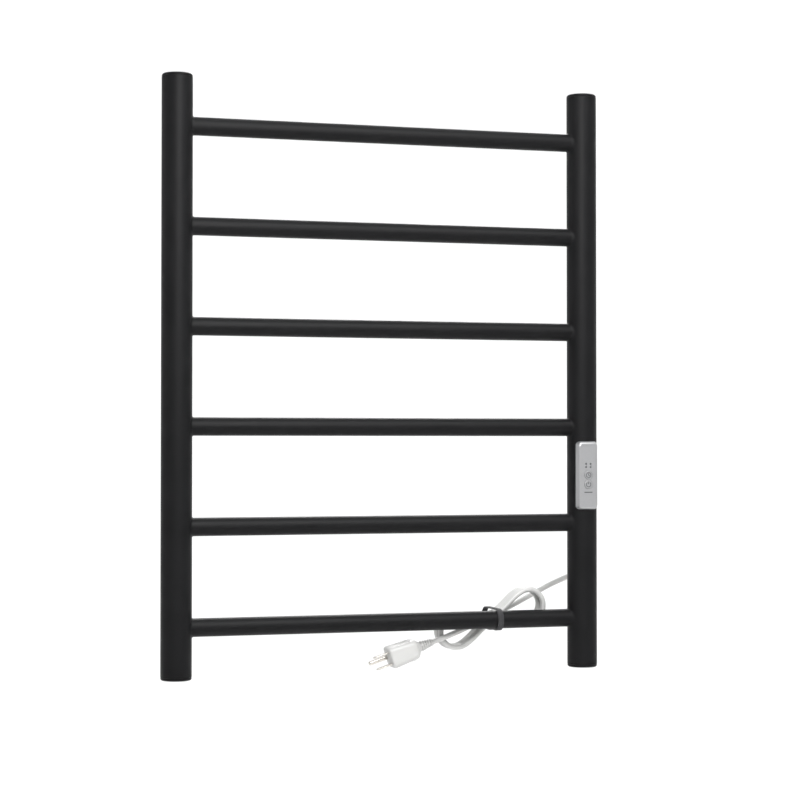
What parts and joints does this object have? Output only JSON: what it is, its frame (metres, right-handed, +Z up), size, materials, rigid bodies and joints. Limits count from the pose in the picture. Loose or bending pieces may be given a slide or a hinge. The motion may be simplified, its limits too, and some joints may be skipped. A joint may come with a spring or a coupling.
{
  "type": "towel warmer rack",
  "caption": "Wall-hung electric towel rack: two round posts joined by round heated rails, with a slim push-button controller in one post and a tied mains cord.",
  "frame": {"origin": "centre of the four wall fixings, on the plane of their rear faces", "axes": "+Z up, +Y towards the wall, +X to the right seen from the front"},
  "size_m": [0.477, 0.085, 0.62],
  "materials": {
    "black_coat": "matte black powder coat",
    "zinc_steel": "zinc-plated",
    "nickel_pins": "nickel-plated",
    "heater_sheath": "silicone sheath",
    "cream_plastic": "moulded",
    "lead_insulation": "silicone insulation",
    "earth_insulation": "green and yellow",
    "brass_fittings": "plated",
    "silver_plastic": "silver satin",
    "seal_rubber": "matte",
    "black_plastic": "moulded",
    "circuit_board": "solder mask",
    "capacitor_case": "moulded",
    "lamp_resin": "moulded resin",
    "smoked_guide": "smoked clear",
    "white_pvc": "moulded PVC",
    "strap": "woven"
  },
  "bodies": {
    "rack": {"board_screw_lower": "zinc_steel", "board_screw_upper": "zinc_steel", "capacitor": "capacitor_case", "control_bezel": "silver_plastic", "control_board": "circuit_board", "control_carrier": "black_plastic", "control_seal": "seal_rubber", "cord_hank": "white_pvc", "cord_lead": "white_pvc", "cord_strain_relief": "white_pvc", "cord_tail": "white_pvc", "crimp_splice": "cream_plastic", "earth_lead": "earth_insulation", "earth_lug": "zinc_steel", "earth_ring_terminal": "brass_fittings", "earth_screw": "brass_fittings", "hank_strap": "strap", "heating_cable": "heater_sheath", "inner_mains_lead": "white_pvc", "lamp_lower_left": "lamp_resin", "lamp_lower_right": "lamp_resin", "lamp_upper_left": "lamp_resin", "lamp_upper_right": "lamp_resin", "left_bottom_cap": "black_coat", "left_post": "black_coat", "left_top_cap": "black_coat", "light_guide": "smoked_guide", "line_lead": "lead_insulation", "lower_left_wall_boss": "zinc_steel", "lower_right_wall_boss": "zinc_steel", "plug_blade_lower": "nickel_pins", "plug_blade_upper": "nickel_pins", "plug_body": "white_pvc", "plug_earth_pin": "nickel_pins", "power_switch": "black_plastic", "rail_1": "black_coat", "rail_2": "black_coat", "rail_3": "black_coat", "rail_4": "black_coat", "rail_5": "black_coat", "rail_6": "black_coat", "relay": "black_plastic", "return_lead": "lead_insulation", "right_bottom_cap": "black_coat", "right_post": "black_coat", "right_top_cap": "black_coat", "terminal_block": "cream_plastic", "thermal_cutout": "cream_plastic", "timer_switch": "black_plastic", "upper_left_wall_boss": "zinc_steel", "upper_right_wall_boss": "zinc_steel"},
    "timer_key": {"timer_button": "silver_plastic", "timer_switch_plunger": "black_plastic"},
    "power_key": {"power_button": "silver_plastic", "power_switch_plunger": "black_plastic"}
  },
  "joints": [
    {"name": "timer_press", "type": "slide", "parent": "rack", "child": "timer_key", "axis": [0, 1, 0], "range_m": [0, 0.0006], "stiffness_N_per_m": 2500},
    {"name": "power_press", "type": "slide", "parent": "rack", "child": "power_key", "axis": [0, 1, 0], "range_m": [0, 0.0006], "stiffness_N_per_m": 2500}
  ]
}
